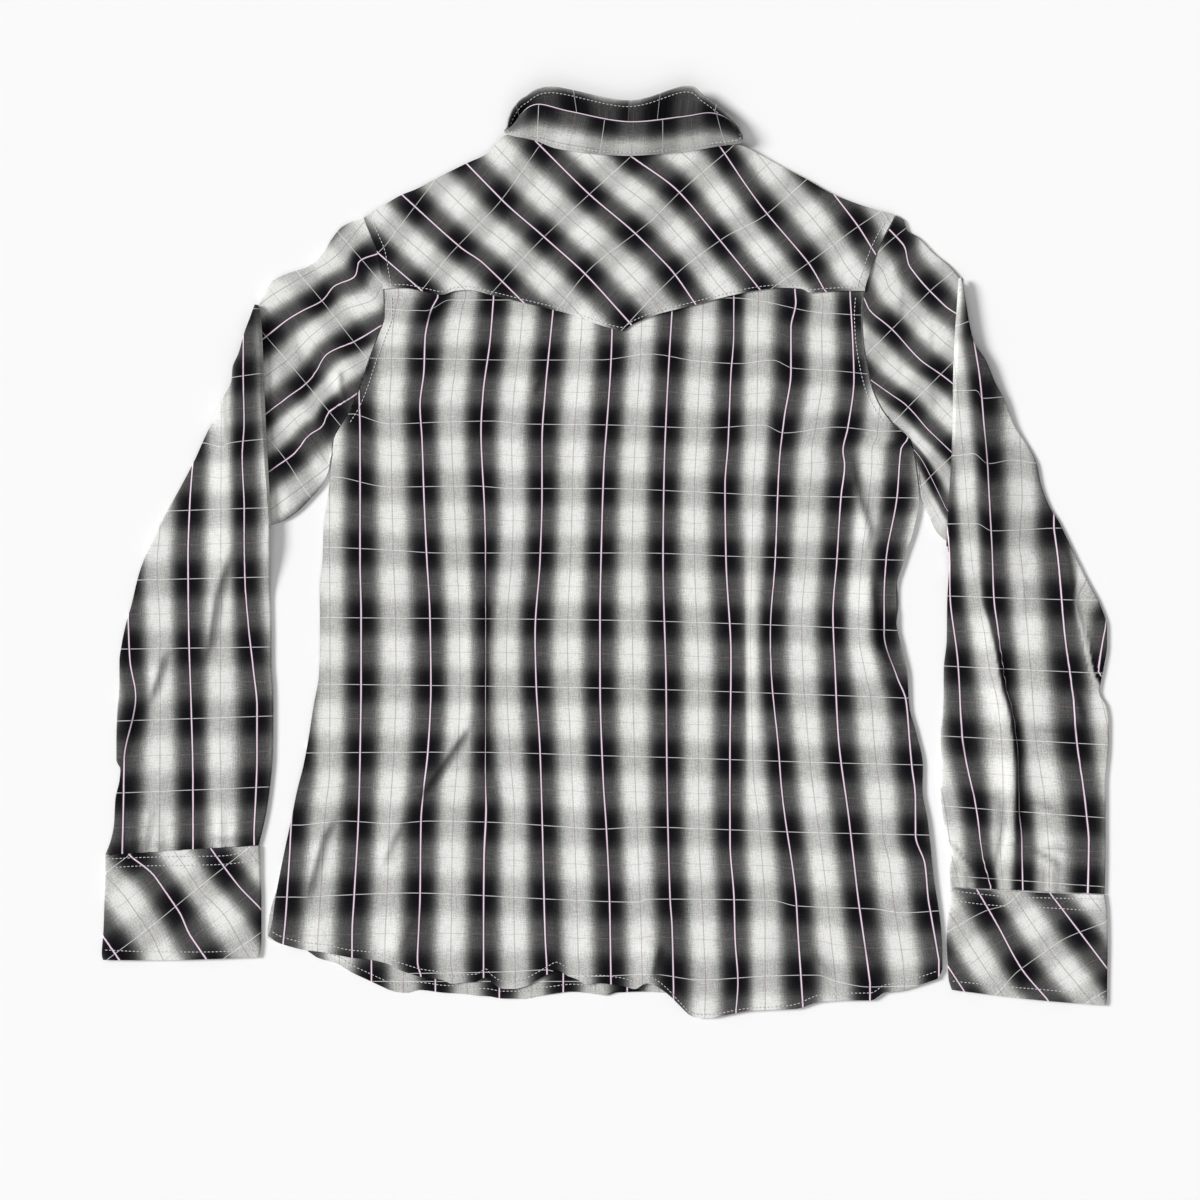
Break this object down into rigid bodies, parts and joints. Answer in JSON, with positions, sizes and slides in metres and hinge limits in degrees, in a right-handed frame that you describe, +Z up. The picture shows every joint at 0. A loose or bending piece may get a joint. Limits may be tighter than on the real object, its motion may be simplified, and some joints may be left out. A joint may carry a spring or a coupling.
{
  "type": "western snap shirt",
  "caption": "Long-sleeved plaid western shirt laid flat on its front, pointed back yoke on the bias, folded sleeves, snap front and cuffs.",
  "frame": {"origin": "centre of the shirt's outline on the surface it lies on", "axes": "+Z up out of the back, +Y from hem to collar, +X to the right as seen from above"},
  "size_m": [0.766, 0.7064, 0.0276],
  "materials": {
    "plaid_cloth": "matte plain-weave cotton in a black and off-white ombre plaid with pink and white lines",
    "plaid_cloth_bias": "the same cotton cut on the bias",
    "snap": "pearl cap in a metal ring"
  },
  "bodies": {
    "root": {"back": "plaid_cloth", "back_yoke": "plaid_cloth_bias", "front_left": "plaid_cloth", "front_right": "plaid_cloth", "placket_band": "plaid_cloth", "underlap_band": "plaid_cloth", "sleeve_left": "plaid_cloth", "sleeve_right": "plaid_cloth", "cuff_left": "plaid_cloth_bias", "cuff_right": "plaid_cloth_bias", "collar_stand": "plaid_cloth", "collar_stand_front": "plaid_cloth", "collar_leaf": "plaid_cloth", "front_snap_1": "snap", "front_snap_2": "snap", "front_snap_3": "snap", "front_snap_4": "snap", "front_snap_5": "snap", "front_snap_6": "snap", "front_snap_7": "snap", "collar_snap": "snap", "cuff_left_snap_1": "snap", "cuff_left_snap_2": "snap", "cuff_right_snap_1": "snap", "cuff_right_snap_2": "snap"}
  },
  "joints": []
}
